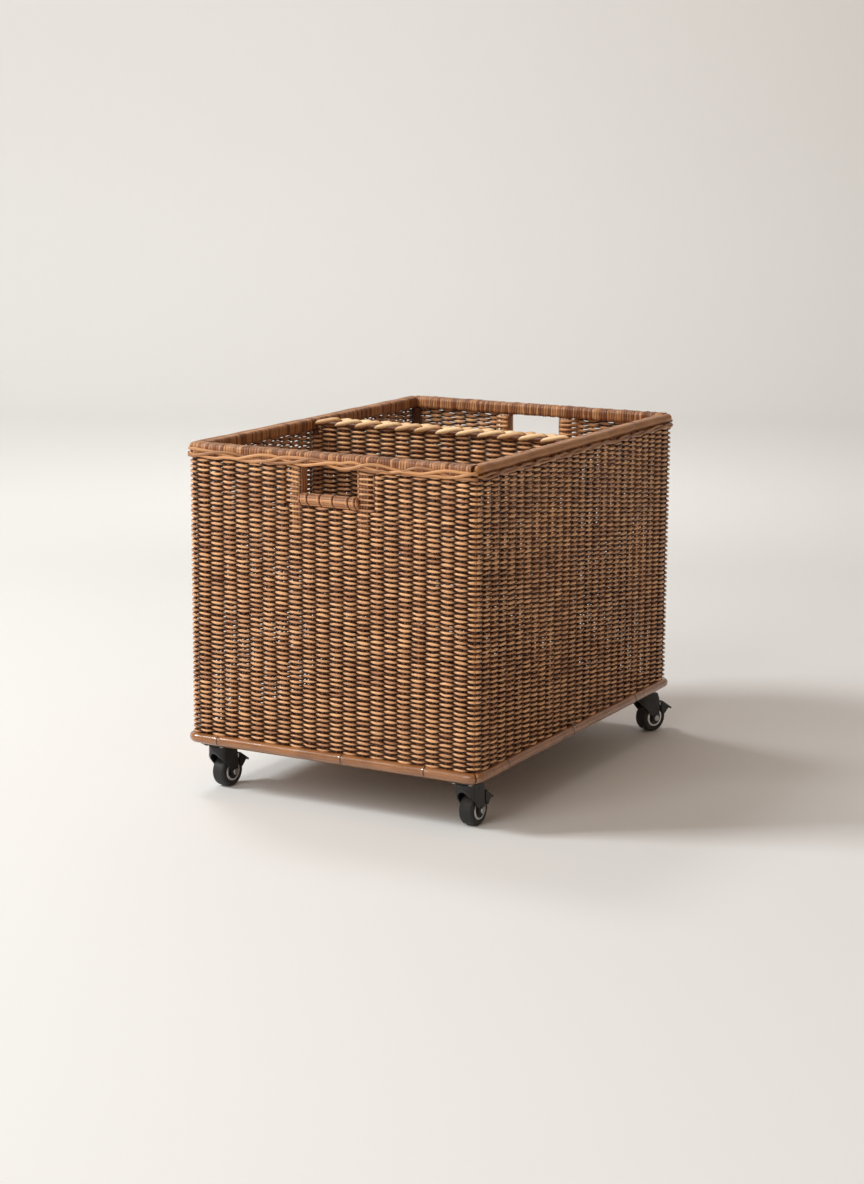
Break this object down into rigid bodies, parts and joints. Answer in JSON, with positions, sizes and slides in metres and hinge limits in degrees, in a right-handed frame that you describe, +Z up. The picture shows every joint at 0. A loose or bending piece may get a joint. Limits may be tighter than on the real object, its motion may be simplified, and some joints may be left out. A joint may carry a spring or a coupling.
{
  "type": "wicker storage trunk",
  "caption": "Open rectangular woven rattan trunk with hand holes, a braided-top divider and a plywood base on swivel casters with brakes.",
  "frame": {"origin": "on the floor under the middle of the basket, midway between the outer faces of opposite walls", "axes": "+Z up, +Y along the basket's length to the rear hand-hold wall, +X to the right long wall"},
  "size_m": [0.522, 0.7555, 0.56],
  "materials": {
    "rattan_weave": "round rattan weavers, stained brown, satin",
    "rattan_stake": "round rattan stakes, stained dark brown, satin",
    "rattan_post": "round posts, stained dark brown, satin",
    "polished_pole": "rattan pole with its skin on, reddish brown, clear lacquer",
    "rattan_cap": "split rattan skin, golden brown, lengthwise grain, satin lacquer",
    "cane_wrap": "flat cane wound side by side, golden brown, satin",
    "rattan_rope": "thick round strands, golden brown, satin",
    "rattan_braid": "plaited round strands, light golden, satin",
    "plywood": "stained plywood, reddish brown, matt",
    "black_steel": "pressed steel, black, satin",
    "black_pedal": "pressed steel, black, satin, with a black rubber pad",
    "black_tyre": "black rubber, matt",
    "hub_plastic": "moulded black nylon, matt",
    "bright_ring": "bright ring, polished",
    "zinc_steel": "zinc-plated steel, satin"
  },
  "bodies": {
    "basket": {"base_board": "plywood", "base_pole_front": "polished_pole", "base_pole_left": "polished_pole", "base_pole_rear": "polished_pole", "base_pole_right": "polished_pole", "border_rope": "rattan_rope", "caster_front_left_plate": "black_steel", "caster_front_right_plate": "black_steel", "caster_rear_left_plate": "black_steel", "caster_rear_right_plate": "black_steel", "caster_screws": "zinc_steel", "corner_post_front_left": "rattan_post", "corner_post_front_right": "rattan_post", "corner_post_rear_left": "rattan_post", "corner_post_rear_right": "rattan_post", "divider_braid": "rattan_braid", "divider_stakes": "rattan_stake", "divider_stiles": "rattan_post", "divider_weave": "rattan_weave", "handle_bar_front": "cane_wrap", "handle_bar_rear": "cane_wrap", "handle_post_front_left": "cane_wrap", "handle_post_front_right": "cane_wrap", "handle_post_rear_left": "cane_wrap", "handle_post_rear_right": "cane_wrap", "rail_cap_left": "rattan_cap", "rail_cap_right": "rattan_cap", "rail_front": "cane_wrap", "rail_left": "cane_wrap", "rail_rear": "cane_wrap", "rail_right": "cane_wrap", "wall_stakes": "rattan_stake", "woven_wall_front": "rattan_weave", "woven_wall_left": "rattan_weave", "woven_wall_rear": "rattan_weave", "woven_wall_right": "rattan_weave"},
    "swivel_front_left": {"caster_front_left_fork": "black_steel", "caster_front_left_axle": "zinc_steel"},
    "wheel_front_left": {"caster_front_left_tyre": "black_tyre", "caster_front_left_hub": "hub_plastic", "caster_front_left_rings": "bright_ring"},
    "brake_front_left": {"caster_front_left_pedal": "black_pedal"},
    "swivel_front_right": {"caster_front_right_fork": "black_steel", "caster_front_right_axle": "zinc_steel"},
    "wheel_front_right": {"caster_front_right_tyre": "black_tyre", "caster_front_right_hub": "hub_plastic", "caster_front_right_rings": "bright_ring"},
    "brake_front_right": {"caster_front_right_pedal": "black_pedal"},
    "swivel_rear_left": {"caster_rear_left_fork": "black_steel", "caster_rear_left_axle": "zinc_steel"},
    "wheel_rear_left": {"caster_rear_left_tyre": "black_tyre", "caster_rear_left_hub": "hub_plastic", "caster_rear_left_rings": "bright_ring"},
    "brake_rear_left": {"caster_rear_left_pedal": "black_pedal"},
    "swivel_rear_right": {"caster_rear_right_fork": "black_steel", "caster_rear_right_axle": "zinc_steel"},
    "wheel_rear_right": {"caster_rear_right_tyre": "black_tyre", "caster_rear_right_hub": "hub_plastic", "caster_rear_right_rings": "bright_ring"},
    "brake_rear_right": {"caster_rear_right_pedal": "black_pedal"}
  },
  "joints": [
    {"name": "swivel_front_left_turn", "type": "hinge", "parent": "basket", "child": "swivel_front_left", "pos_m": [-0.221, -0.328, 0.07], "axis": [0, 0, 1], "continuous": true},
    {"name": "wheel_front_left_roll", "type": "hinge", "parent": "swivel_front_left", "child": "wheel_front_left", "pos_m": [-0.21856, -0.30815, 0.025], "axis": [-0.9925, 0.1219, 0], "continuous": true},
    {"name": "brake_front_left_lift", "type": "hinge", "parent": "swivel_front_left", "child": "brake_front_left", "pos_m": [-0.21954, -0.31609, 0.061], "axis": [0.9925, -0.1219, 0], "range_deg": [0, 28]},
    {"name": "swivel_front_right_turn", "type": "hinge", "parent": "basket", "child": "swivel_front_right", "pos_m": [0.221, -0.328, 0.07], "axis": [0, 0, 1], "continuous": true},
    {"name": "wheel_front_right_roll", "type": "hinge", "parent": "swivel_front_right", "child": "wheel_front_right", "pos_m": [0.22222, -0.30804, 0.025], "axis": [-0.9981, 0.061, 0], "continuous": true},
    {"name": "brake_front_right_lift", "type": "hinge", "parent": "swivel_front_right", "child": "brake_front_right", "pos_m": [0.22173, -0.31602, 0.061], "axis": [0.9981, -0.061, 0], "range_deg": [0, 28]},
    {"name": "swivel_rear_left_turn", "type": "hinge", "parent": "basket", "child": "swivel_rear_left", "pos_m": [-0.221, 0.328, 0.07], "axis": [0, 0, 1], "continuous": true},
    {"name": "wheel_rear_left_roll", "type": "hinge", "parent": "swivel_rear_left", "child": "wheel_rear_left", "pos_m": [-0.22344, 0.34785, 0.025], "axis": [-0.9925, -0.1219, 0], "continuous": true},
    {"name": "brake_rear_left_lift", "type": "hinge", "parent": "swivel_rear_left", "child": "brake_rear_left", "pos_m": [-0.22246, 0.33991, 0.061], "axis": [0.9925, 0.1219, 0], "range_deg": [0, 28]},
    {"name": "swivel_rear_right_turn", "type": "hinge", "parent": "basket", "child": "swivel_rear_right", "pos_m": [0.221, 0.328, 0.07], "axis": [0, 0, 1], "continuous": true},
    {"name": "wheel_rear_right_roll", "type": "hinge", "parent": "swivel_rear_right", "child": "wheel_rear_right", "pos_m": [0.22961, 0.34605, 0.025], "axis": [-0.9026, 0.4305, 0], "continuous": true},
    {"name": "brake_rear_right_lift", "type": "hinge", "parent": "swivel_rear_right", "child": "brake_rear_right", "pos_m": [0.22617, 0.33883, 0.061], "axis": [0.9026, -0.4305, 0], "range_deg": [0, 28]}
  ]
}
